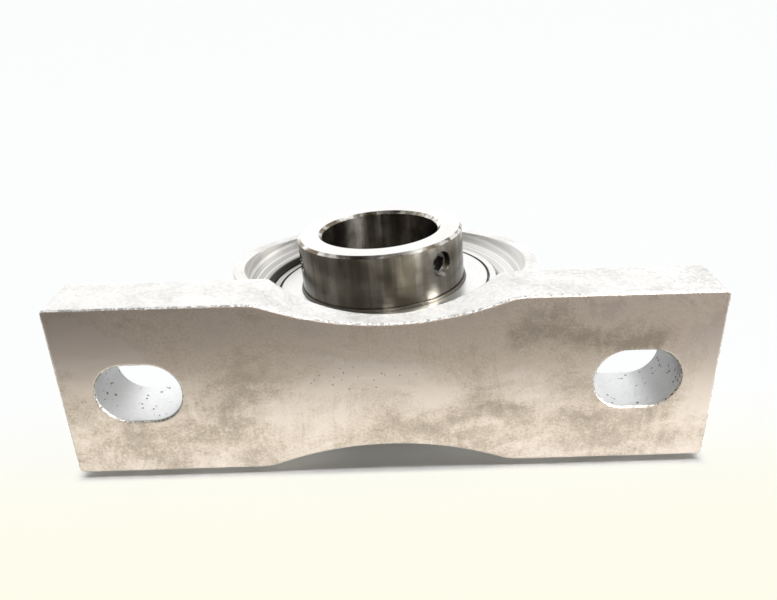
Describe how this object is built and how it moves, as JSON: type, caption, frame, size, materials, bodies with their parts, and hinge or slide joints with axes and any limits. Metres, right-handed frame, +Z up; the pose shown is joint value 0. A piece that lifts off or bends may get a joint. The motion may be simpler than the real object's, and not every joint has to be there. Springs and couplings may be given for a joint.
{
  "type": "pillow block bearing",
  "caption": "Pillow block bearing: a cast stainless housing on a waisted, slotted base, holding a self-aligning ball bearing insert with set screws, seals and a grease fitting.",
  "frame": {"origin": "middle of the base's mounting face", "axes": "+Z up from the mounting face to the shaft, X along the base, Y along the shaft; the set screws are on the -Y side"},
  "size_m": [0.167, 0.051, 0.1034],
  "materials": {
    "housing_steel": "cast stainless, ground base, polished ring",
    "bearing_steel": "fine ground",
    "ball_steel": "polished",
    "pressed_steel": "pressed sheet, satin",
    "rivet_steel": "plain",
    "screw_steel": "plain",
    "fitting_steel": "turned",
    "spring_steel": "drawn wire",
    "seal_rubber": "matt"
  },
  "bodies": {
    "housing": {"housing": "housing_steel", "grease_fitting": "fitting_steel", "grease_check_spring": "spring_steel"},
    "outer_ring": {"outer_ring": "bearing_steel", "seal_shield_front": "pressed_steel", "seal_shield_back": "pressed_steel", "seal_lip_front": "seal_rubber", "seal_lip_back": "seal_rubber"},
    "inner_ring": {"inner_ring": "bearing_steel", "flinger_front": "pressed_steel", "flinger_back": "pressed_steel"},
    "cage": {"cage_front": "pressed_steel", "cage_back": "pressed_steel", "cage_rivets": "rivet_steel"},
    "ball_1": {"ball_1": "ball_steel"},
    "ball_2": {"ball_2": "ball_steel"},
    "ball_3": {"ball_3": "ball_steel"},
    "ball_4": {"ball_4": "ball_steel"},
    "ball_5": {"ball_5": "ball_steel"},
    "ball_6": {"ball_6": "ball_steel"},
    "ball_7": {"ball_7": "ball_steel"},
    "ball_8": {"ball_8": "ball_steel"},
    "ball_9": {"ball_9": "ball_steel"},
    "set_screw_1": {"set_screw_1": "screw_steel"},
    "set_screw_2": {"set_screw_2": "screw_steel"},
    "check_ball": {"grease_check_ball": "ball_steel"}
  },
  "joints": [
    {"name": "swivel", "type": "hinge", "parent": "housing", "child": "outer_ring", "pos_m": [0, 0, 0.0476], "axis": [0.5592, 0, 0.829], "range_deg": [-1.4, 8.6]},
    {"name": "shaft_spin", "type": "hinge", "parent": "outer_ring", "child": "inner_ring", "pos_m": [0, 0, 0.0476], "axis": [-0.0521, -0.998, 0.0351], "continuous": true},
    {"name": "cage_spin", "type": "hinge", "parent": "outer_ring", "child": "cage", "pos_m": [0, 0, 0.0476], "axis": [-0.0521, -0.998, 0.0351], "continuous": true},
    {"name": "ball_1_spin", "type": "hinge", "parent": "cage", "child": "ball_1", "pos_m": [-0.00002, -0.00094, 0.02087], "axis": [-0.0521, -0.998, 0.0351], "continuous": true},
    {"name": "ball_2_spin", "type": "hinge", "parent": "cage", "child": "ball_2", "pos_m": [0.01715, -0.00161, 0.02714], "axis": [-0.0521, -0.998, 0.0351], "continuous": true},
    {"name": "ball_3_spin", "type": "hinge", "parent": "cage", "child": "ball_3", "pos_m": [0.0263, -0.00153, 0.04298], "axis": [-0.0521, -0.998, 0.0351], "continuous": true},
    {"name": "ball_4_spin", "type": "hinge", "parent": "cage", "child": "ball_4", "pos_m": [0.02315, -0.00074, 0.06099], "axis": [-0.0521, -0.998, 0.0351], "continuous": true},
    {"name": "ball_5_spin", "type": "hinge", "parent": "cage", "child": "ball_5", "pos_m": [0.00916, 0.00041, 0.07273], "axis": [-0.0521, -0.998, 0.0351], "continuous": true},
    {"name": "ball_6_spin", "type": "hinge", "parent": "cage", "child": "ball_6", "pos_m": [-0.00911, 0.00136, 0.07271], "axis": [-0.0521, -0.998, 0.0351], "continuous": true},
    {"name": "ball_7_spin", "type": "hinge", "parent": "cage", "child": "ball_7", "pos_m": [-0.02312, 0.00168, 0.06095], "axis": [-0.0521, -0.998, 0.0351], "continuous": true},
    {"name": "ball_8_spin", "type": "hinge", "parent": "cage", "child": "ball_8", "pos_m": [-0.02631, 0.00121, 0.04293], "axis": [-0.0521, -0.998, 0.0351], "continuous": true},
    {"name": "ball_9_spin", "type": "hinge", "parent": "cage", "child": "ball_9", "pos_m": [-0.01719, 0.00018, 0.02711], "axis": [-0.0521, -0.998, 0.0351], "continuous": true},
    {"name": "set_screw_1_travel", "type": "slide", "parent": "inner_ring", "child": "set_screw_1", "axis": [0.6931, -0.0614, -0.7183], "range_m": [-0.0012, 0.0012]},
    {"name": "set_screw_2_travel", "type": "slide", "parent": "inner_ring", "child": "set_screw_2", "axis": [-0.9692, 0.042, -0.2427], "range_m": [-0.0012, 0.0012]},
    {"name": "grease_check", "type": "slide", "parent": "housing", "child": "check_ball", "axis": [0, 0, 1], "range_m": [-0.0008, 0], "stiffness_N_per_m": 50, "springref_m": 0.001, "deforming": ["grease_check_spring"]}
  ],
  "couplings": [
    {"joint": "cage_spin", "follows": "shaft_spin", "ratio": 0.39615},
    {"joint": "ball_1_spin", "follows": "shaft_spin", "ratio": -2.3035},
    {"joint": "ball_2_spin", "follows": "shaft_spin", "ratio": -2.3035},
    {"joint": "ball_3_spin", "follows": "shaft_spin", "ratio": -2.3035},
    {"joint": "ball_4_spin", "follows": "shaft_spin", "ratio": -2.3035},
    {"joint": "ball_5_spin", "follows": "shaft_spin", "ratio": -2.3035},
    {"joint": "ball_6_spin", "follows": "shaft_spin", "ratio": -2.3035},
    {"joint": "ball_7_spin", "follows": "shaft_spin", "ratio": -2.3035},
    {"joint": "ball_8_spin", "follows": "shaft_spin", "ratio": -2.3035},
    {"joint": "ball_9_spin", "follows": "shaft_spin", "ratio": -2.3035}
  ]
}
